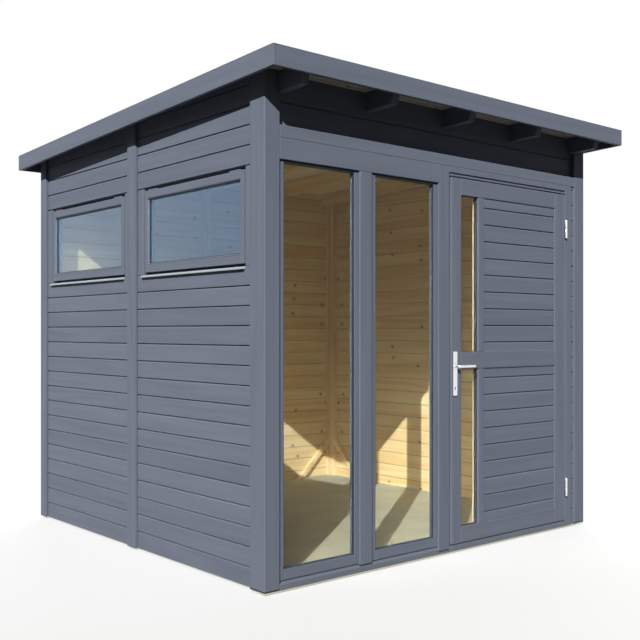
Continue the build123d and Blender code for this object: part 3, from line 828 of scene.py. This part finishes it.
# %% Frames of planks
def ring(made, low, high, sides, ends, axis, upright=0, level=1, arris=0.002, segments=2):
    """Four planks round an opening: two uprights, and two level ones between them."""
    low, high = Vector(low), Vector(high)
    along = "XYZ".index(axis)

    def corner(point, place, z):
        moved = point.copy()
        moved[along], moved.z = place, z
        return moved

    begin, end = low[along], high[along]
    for first, last in ((begin, begin + sides), (end - sides, end)):
        plank(made, corner(low, first, low.z), corner(high, last, high.z), upright, arris, segments)
    begin, end = begin + sides, end - sides
    for foot, head in ((low.z, low.z + ends), (high.z - ends, high.z)):
        plank(made, corner(low, begin, foot), corner(high, end, head), level, arris, segments)


print("frame tool ready")

# %% [markdown]
# Glazing beads are mitred: their section runs on round the corners.  A flat rectangle is inset again and
# again, and each new inner edge is pushed deeper, which draws the section all the way round at once.

# %% Mitred mouldings
def moulding(made, low, high, steps):
    """A mitred strip round a rectangle across X, alone in its mesh; each step is (width, depth)."""
    (x, y0, z0), (_, y1, z1) = low, high
    corners = (x, y0, z0), (x, y1, z0), (x, y1, z1), (x, y0, z1)
    core = made.faces.new([made.verts.new(corner) for corner in corners])
    for width, depth in steps:
        bmesh.ops.inset_region(
            made, faces=[core], thickness=width, use_boundary=True, use_even_offset=True
        )
        bmesh.ops.translate(made, vec=X * depth, verts=core.verts[:])
    bmesh.ops.delete(made, geom=[core], context="FACES_ONLY")
    bmesh.ops.bridge_loops(made, edges=[edge for edge in made.edges if edge.is_boundary])


print("moulding tool ready")

# %% [markdown]
# From outside in, a window first has its two casings, which stand between the ends of the boards.  The
# inner frame lies behind the boards, and its stops catch the sash from behind.

# %% Casings of the side windows
CASING, EDGE, STOP_SIDE, STOP_END = 0.058, 0.012, 0.030, 0.037
# The third finish here is painted shade, for the rebate behind the sash's glass.
wood = [paint["Z"], paint["Y"], deep_shade_paint]


def make_casing(name, low, high, stop_x):
    """Casings, inner frame and stops of one side window."""
    made = bmesh.new()
    first, last, board_back = low.y + CASING, high.y - CASING, low.x + THICK
    for y0, y1 in ((low.y, first), (last, high.y)):
        plank(made, (low.x, y0, OPENING[0]), (board_back, y1, OPENING[1]), 0, 0.0025)
    ring(made, (board_back, first - EDGE, low.z), (high.x, last + EDGE, high.z), EDGE, EDGE, "Y")
    stop_low, stop_high = (stop_x, first, OPENING[0]), (stop_x + EDGE, last, OPENING[1])
    ring(made, stop_low, stop_high, STOP_SIDE, STOP_END, "Y")
    piece(name + "_casing", made, wood, [name + "_frame"])


print("casings at", [round(z, 4) for z in OPENING])

# %% [markdown]
# The sash comes next, with a rebate behind the glass that is painted dark as painted shade, and two
# small packers on its top rail.  A fine gap between bead and stile makes the dark line that tells the
# two apart, and a thin black seal lies between bead and glass.

# %% Make the side windows
STILE, RAIL, BEAD, BEAD_GAP = 0.036, 0.048, 0.008, 0.0012
SEAL_SIDE, SEAL_END = 0.0052, 0.0035
BEAD_STEPS = (0.0003, -0.0110), (0.0012, -0.0004), (0.0052, 0.0102)
PACKER_IN, PACKER_LENGTH, PACKER_DEPTH, PACKER_RISE = 0.034, 0.085, 0.016, 0.0055
for end_name in ("front", "back"):
    name = "side_window_" + end_name
    (s_low, s_high), (g_low, g_high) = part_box(name + "_sash"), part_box(name + "_glass")
    make_casing(name, *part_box(name + "_frame"), s_high.x)

    made = bmesh.new()
    ring(made, s_low, s_high, STILE - BEAD, RAIL - BEAD, "Y", arris=0.0028)
    inset = Vector((0, STILE - BEAD, RAIL - BEAD))
    inner_low, inner_high = s_low + inset, s_high - inset
    ring(made, (g_low.x + 0.0005, *inner_low.yz), inner_high, BEAD, BEAD, "Y", 2, 2)
    for y in (s_low.y + PACKER_IN, s_high.y - PACKER_IN - PACKER_LENGTH):
        packer_high = (s_low.x + PACKER_DEPTH, y + PACKER_LENGTH, s_high.z + PACKER_RISE)
        plank(made, (s_low.x + 0.001, y, s_high.z - 0.001), packer_high, 1, 0.0012, 1)
    piece(name + "_sash_bars", made, wood, [name + "_sash"])

    made = bmesh.new()
    start = (g_low.x - 0.0006, inner_low.y + BEAD_GAP, inner_low.z + BEAD_GAP)
    moulding(made, start, (start[0], inner_high.y - BEAD_GAP, inner_high.z - BEAD_GAP), BEAD_STEPS)
    piece(name + "_beads", made, [paint["Y"]])

    made = bmesh.new()
    seal_low = (g_low.x - 0.0014, g_low.y - 0.001, g_low.z - 0.001)
    seal_high = (g_low.x - 0.0001, g_high.y + 0.001, g_high.z + 0.001)
    ring(made, seal_low, seal_high, SEAL_SIDE, SEAL_END, "Y", 0, 0, 0.0004, 1)
    piece(name + "_seal", made, [rubber], slot="window_glass")
    glaze(name + "_glass", side_glass)

# %% [markdown]
# The sill under each sash is a slim strip whose top slopes outwards, so that rain runs off it.  The
# front edge of the top is simply pulled down before the arrises are taken off.

# %% Window sills
SILL_FALL, SILL_REACH = 0.0050, 0.012
made = bmesh.new()
low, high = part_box("window_sills")
for end_name in ("front", "back"):
    s_low, s_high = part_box(f"side_window_{end_name}_sash")
    corners = block(made, (low.x, s_low.y - SILL_REACH, low.z), (high.x, s_high.y + SILL_REACH, high.z))
    outer_top = [v for v in corners if v.co.x < low.x + 0.001 and v.co.z > high.z - 0.001]
    bmesh.ops.translate(made, vec=Z * -SILL_FALL, verts=outer_top)
    soften(made, edges_at(corners), 0.0022)
# The sills' pale paint is partly a painted highlight.
piece("window_sill_strips", made, [sill_paint_with_highlight], ["window_sills"])

# %% [markdown]
# ## The tall windows
# Fixed frames sit between the mullions.  Their stiles end under a groove below the head board, which
# keeps water off, so the head bar lies behind that groove.  Thin strips line the rebate in front of the
# glass and behind it, in dark paint that is painted shade, and a narrow lip of black rubber lies on the
# edge of the glass.

# %% Make the tall windows
LINING, LIP_SIDE, LIP_END = 0.0022, 0.0040, 0.0032
both_grains = [paint["Z"], paint["X"], spruce["Z"], spruce["X"]]


def leave_bare_indoors(made):
    """Faces that look into the room take the bare finish, two further on in the list."""
    for side in made.faces:
        side.normal_update()
        if side.normal.y > 0.9:
            side.material_index += 2


for hand in ("left", "right"):
    name = "tall_window_" + hand
    (f_low, f_high), (g_low, g_high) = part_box(name + "_frame"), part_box(name + "_glass")
    made = bmesh.new()
    plank(made, f_low, (g_low.x, f_high.y, g_high.z), 0, 0.0025)
    plank(made, (g_high.x, f_low.y, f_low.z), (f_high.x, f_high.y, g_high.z), 0, 0.0025)
    plank(made, (g_low.x, f_low.y, f_low.z), (g_high.x, f_high.y, g_low.z), 1, 0.0025)
    plank(made, (f_low.x, g_low.y, g_high.z), f_high, 1, 0.0015)
    leave_bare_indoors(made)
    piece(name + "_bars", made, both_grains, [name + "_frame"])

    made = bmesh.new()
    for y0, y1, *shape in (
        (f_low.y + 0.003, g_low.y - 0.0002, LINING, LINING, "X", 2, 0, 0.0006),
        (g_low.y - 0.0016, g_low.y - 0.0001, LIP_SIDE, LIP_END, "X", 1, 1, 0.0004),
        (g_high.y + 0.0002, f_high.y - 0.003, LINING, LINING, "X", 0, 0, 0.0006),
    ):
        ring(made, (g_low.x, y0, g_low.z), (g_high.x, y1, g_high.z), *shape, 1)
    piece(name + "_linings", made, [rebate, rubber, deep_shade_paint])
    glaze(name + "_glass", clear_glass)

# %% [markdown]
# ## The door frame
# The frame is one worked copy: its jamb has upright grain, and its head and threshold have level
# grain, so each face takes its finish from where it is.

# %% Door frame
PAST_JAMB, UNDER_HEAD = leaf_high.x - 0.03, leaf_high.z - 0.025
made = worked("door_frame", 0.002)
choose_finish(made, lambda middle: middle.x < PAST_JAMB and not leaf_low.z <= middle.z <= UNDER_HEAD)
leave_bare_indoors(made)
piece("door_frame_worked", made, both_grains, ["door_frame"])

# %% [markdown]
# ## The door leaf
# Stiles, rails and muntins are joined planks.  They leave two narrow fields for glass, one over the
# other, and two wide ones for boards.

# %% Door leaf
(b_low, b_high), (g_low, g_high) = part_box("door_boarding"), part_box("door_glass")
RAILS = (leaf_low.z, leaf_low.z + 0.085), (0.960, 1.050), (leaf_high.z - 0.088, leaf_high.z)
FIELDS = [(lower[1], upper[0]) for lower, upper in zip(RAILS, RAILS[1:])]
made = bmesh.new()
plank(made, leaf_low, (g_low.x, leaf_high.y, leaf_high.z), 0, 0.003)
plank(made, (b_high.x, leaf_low.y, leaf_low.z), leaf_high, 0, 0.003)
for z0, z1 in RAILS:
    plank(made, (g_low.x, leaf_low.y, z0), (b_high.x, leaf_high.y, z1), 1, 0.003)
for z0, z1 in FIELDS:
    plank(made, (g_high.x, leaf_low.y, z0), (b_low.x, leaf_high.y, z1), 0, 0.003)
piece("door_stiles_and_rails", made, [paint["Z"], paint["X"]], ["door_leaf_frame"], body="door")

# %% [markdown]
# A thin lining runs round each pane on the room's side, painted dark as painted shade where it is deep
# and bare in front, and a black seal lies on the edge of the glass outside.

# %% Lining and seal of the door's panes
DOOR_LINING, DOOR_SEAL_SIDE, DOOR_SEAL_END = 0.0015, 0.0045, 0.0025
change = leaf_high.y - 0.007
made = bmesh.new()
for z0, z1 in FIELDS:
    for y0, y1, *grains in ((g_high.y + 0.0003, change, 2, 2), (change, leaf_high.y - 0.001, 0, 1)):
        corners = (g_low.x, y0, z0), (g_high.x, y1, z1)
        ring(made, *corners, DOOR_LINING, DOOR_LINING, "X", *grains, 0.0004, 1)
piece("door_light_lining", made, [spruce["Z"], spruce["X"], deep_shade_paint], body="door", slot="natural_timber")

made = bmesh.new()
for z0, z1 in FIELDS:
    seal_low, seal_high = (g_low.x, g_low.y - 0.0022, z0), (g_high.x, g_low.y - 0.0001, z1)
    ring(made, seal_low, seal_high, DOOR_SEAL_SIDE, DOOR_SEAL_END, "X", 0, 0, 0.0005, 1)
piece("door_glass_seal", made, [rubber], body="door", slot="window_glass")
glaze("door_glass", clear_glass)

# %% [markdown]
# The two wide fields of the door hold lying boards like those of the walls.  Each field is laid with a
# few boards too many and then trimmed by planes, as a joiner saws a laid field to size.

# %% Door boards
JOINTS = (0.181, 1.098)
made = bmesh.new()
for (z0, z1), joint in zip(FIELDS, JOINTS):
    part = bmesh.new()
    for row in range(-1, 10):
        start = Vector((b_low.x, b_low.y, joint + row * BOARD))
        lay_board(part, start, Y, X, b_high.x - b_low.x)
    cut(part, Z * z0, -Z)
    cut(part, Z * z1, Z)
    cut(part, Y * b_high.y, Y)
    held = bpy.data.meshes.new("field")
    part.to_mesh(held)
    part.free()
    made.from_mesh(held)
    bpy.data.meshes.remove(held)
piece("door_field_boards", made, [paint_boards["X"]], ["door_boarding"], body="door")

# %% [markdown]
# ## Hinges and handle
# The hinges are lift-off hinges with round barrels, and each half rides on its own body.

# %% Hinges
for node, body in (("hinge_frame_knuckles", "cabin"), ("hinge_leaf_knuckles", "door")):
    made = worked(node, 0.0007, 2, 40)
    piece(node + "_worked", made, [zinc], [node], body, "bright_steel", rounded=35)

# %% [markdown]
# The handle is a long plate with a lever, one on each side of the door.  The plates keep the CAD
# model's shape with softer edges.

# %% Handle plates
LEVER_Z, KEY_Z = 0.976, 0.862
p_low, p_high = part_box("handle_plates")
spindle_x = (p_low.x + p_high.x) / 2
made = worked("handle_plates", 0.0022, 3, 40)
on_door = {"body": "door", "slot": "satin_alloy"}
piece("handle_plates_worked", made, [alloy], ["handle_plates"], rounded=35, **on_door)

# %% [markdown]
# Screws hold the plates at both ends.  The keyhole goes through them, so a black backing behind it is
# painted shade for the dark inside of the lock.

# %% Screws and keyhole
SCREW_IN, KEY_HALF_WIDTH, KEY_HALF_HEIGHT = 0.013, 0.006, 0.011


def facing_y(middle):
    """The place of a round part whose axis lies along Y."""
    return Matrix.Translation(middle) @ Matrix.Rotation(radians(90), 4, "X")


def rod(made, middle, radius, length, steps):
    """A round bar along Y; its vertices are given back."""
    return bmesh.ops.create_cone(made, cap_ends=True, segments=steps, radius1=radius, radius2=radius,
                                 depth=length, matrix=facing_y(middle))["verts"]


def disc(made, centre, radius, thick, outward, steps=32):
    """A flat round part with a soft rim, which stands out from a point along Y."""
    corners = rod(made, Vector(centre) + Y * outward * thick / 2, radius, thick, steps)
    rims = [edge for edge in edges_at(corners) if edge.calc_face_angle(0) > radians(40)]
    soften(made, rims, 0.0006)


made = bmesh.new()
for face_y, outward in ((p_low.y, -1), (p_high.y, 1)):
    for z in (p_low.z + SCREW_IN, p_high.z - SCREW_IN):
        disc(made, (spindle_x, face_y - outward * 0.0008, z), 0.0042, 0.0018, outward, 20)
piece("handle_screws", made, [alloy], rounded=35, **on_door)

made = bmesh.new()
half = Vector((KEY_HALF_WIDTH, 0.0006, KEY_HALF_HEIGHT))
for face_y in (leaf_low.y, leaf_high.y):
    middle = Vector((spindle_x, face_y, KEY_Z))
    plank(made, middle - half, middle + half, 0, 0.0002, 1)
piece("keyhole_painted_shade", made, [rubber], **on_door)

# %% [markdown]
# A lever is a bent round bar.  Its end face is pushed along the path step by step, and turned a little
# with each step in the elbow, which is how a sweep is made by hand.  The last steps draw it in to a
# soft tip.  A spindle joins the two levers through the door, and a collar goes round each neck.

# %% Lever
STAND_OFF, GRIP_RADIUS, ELBOW, TURNS, BAR_IN = 0.0052, 0.0078, 0.014, 8, 0.009
TIP = (0.0018, 0.95), (0.0014, 0.86), (0.0008, 0.70)
l_low, l_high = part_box("lever_handle")


def grip(made, outward):
    """Neck, elbow and grip of one lever, in one sweep."""
    bar_y = l_low.y + BAR_IN if outward < 0 else l_high.y - BAR_IN
    start_y = (p_low.y if outward < 0 else p_high.y) + outward * STAND_OFF
    place = facing_y((spindle_x, start_y, LEVER_Z))
    circle = bmesh.ops.create_circle(made, cap_ends=True, radius=GRIP_RADIUS, segments=24, matrix=place)
    tip = circle["verts"][0].link_faces[:]

    def push(vector, scale=None):
        nonlocal tip
        rim = {edge for end in tip for edge in end.edges}
        grown = bmesh.ops.extrude_face_region(made, geom=[*tip, *rim])["geom"]
        tip, verts = only(BMFace, grown), only(BMVert, grown)
        bmesh.ops.translate(made, vec=vector, verts=verts)
        if scale:
            centre = sum((v.co for v in verts), Vector()) / len(verts)
            bmesh.ops.scale(made, vec=scale, verts=verts, space=Matrix.Translation(-centre))
        return verts

    push(Y * (bar_y - outward * ELBOW - start_y))
    pivot = Vector((spindle_x + ELBOW, bar_y - outward * ELBOW, LEVER_Z))
    turn = Matrix.Rotation(-outward * radians(90 / TURNS), 3, "Z")
    for _ in range(TURNS):
        bmesh.ops.rotate(made, cent=pivot, matrix=turn, verts=push(Vector()))
    push(X * (l_high.x - sum(step for step, _ in TIP) - (spindle_x + ELBOW)))
    for step, size in TIP:
        push(X * step, (1, size, size))


made = bmesh.new()
grip(made, -1)
grip(made, 1)
middle = (spindle_x, (p_low.y + p_high.y) / 2, LEVER_Z)
rod(made, middle, 0.0045, p_high.y - p_low.y + 2 * STAND_OFF, 20)
piece("lever_worked", made, [alloy], ["lever_handle"], "lever", "satin_alloy", rounded=35)

made = bmesh.new()
for face_y, outward in ((p_low.y, -1), (p_high.y, 1)):
    disc(made, (spindle_x, face_y - outward * 0.0004, LEVER_Z), 0.0125, 0.0028, outward)
piece("lever_collars", made, [alloy], rounded=35, **on_door)

# %% [markdown]
# ## The roof
# Rafters run front to back with raked ends.  Only their ends outdoors are painted, so a copy of them is
# split at the wall faces, and the length in the room stays bare.  Four fascias box them in.

# %% Rafters and fascias
made = worked("rafters", 0.003)
room = (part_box("front_head_boards")[0].y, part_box("back_wall_left_panel")[1].y)
for y in room:
    split(made, Y * y, Y)
choose_finish(made, lambda middle: room[0] < middle.y < room[1])
piece("rafters_worked", made, [paint["Y"], spruce["Y"]], ["rafters"])
for edge_name, axis in (("front", "X"), ("back", "X"), ("left", "Y"), ("right", "Y")):
    dress("fascia_" + edge_name, axis, 0.0022)

# %% [markdown]
# The roof boards are laid flat first and then sheared to the slope, corner by corner, so each keeps
# upright edges.  Their undersides show the V joints at the eaves.

# %% Roof boards
low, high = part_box("roof_boards")
made = bmesh.new()
for row in range(int((high.y - low.y) / BOARD) + 1):
    lay_board(made, Vector((low.x, low.y + row * BOARD, 0)), Z, X, high.x - low.x, Y)
cut(made, Y * high.y, Y)
for corner in made.verts:
    corner.co.z += under_roof(corner.co.y)
# The deck's paler spruce is painted light on the soffit.
piece("roof_deck_boards", made, [spruce_deck], ["roof_boards"], slot="natural_timber")

# %% [markdown]
# Felt covers the deck and turns over the fascias, where its edge shows as a pale line, partly the grey
# of the cut felt and partly a painted highlight along the fascias' tops.  Two thin strips stand for the
# laps of one sheet over the next, which break up the flat roof seen from above.

# %% Roofing felt
LAPS, LAP_WIDTH, LAP_RISE, LAP_IN = (0.36, 0.70), 0.09, 0.0022, 0.004
TRAY_TOP = 0.0222
outer_low, outer_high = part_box("roof_felt")
made = worked("roof_felt", 0.0010)
choose_finish(made, lambda middle: min(*(middle - outer_low).xy, *(outer_high - middle).xy) < 0.002)
for share in LAPS:
    y = low.y + (high.y - low.y) * share
    lap_high = (high.x - LAP_IN, y + LAP_WIDTH, TRAY_TOP + LAP_RISE)
    lap = plank(made, (low.x + LAP_IN, y, TRAY_TOP), lap_high, 0, 0.001, 1)
    for corner in {corner for side in lap for corner in side.verts}:
        corner.co.z += under_roof(corner.co.y)
piece("felt_strips", made, [felt, felt_edge], ["roof_felt"], slot="roofing_felt")

# %% [markdown]
# ## Floor and framing
# The building stands on bare softwood bearers, whose ends show as a pale line along the front.  Inside
# are a smooth pale floor, upright studs and diagonal knee braces in the corners.

# %% Bearers, studs and braces
for node in ("left_wall_studs", "right_wall_studs", "back_wall_studs", "knee_braces"):
    piece(node + "_worked", worked(node), [spruce["Z"]], [node], slot="natural_timber")
made = worked("floor_bearers", 0.001)
piece("floor_bearers_worked", made, [weathered], ["floor_bearers"], slot="natural_timber")
made = worked("floor_deck", 0.0015)
piece("floor_sheet", made, [floor_sheet], ["floor_deck"], slot="natural_timber")
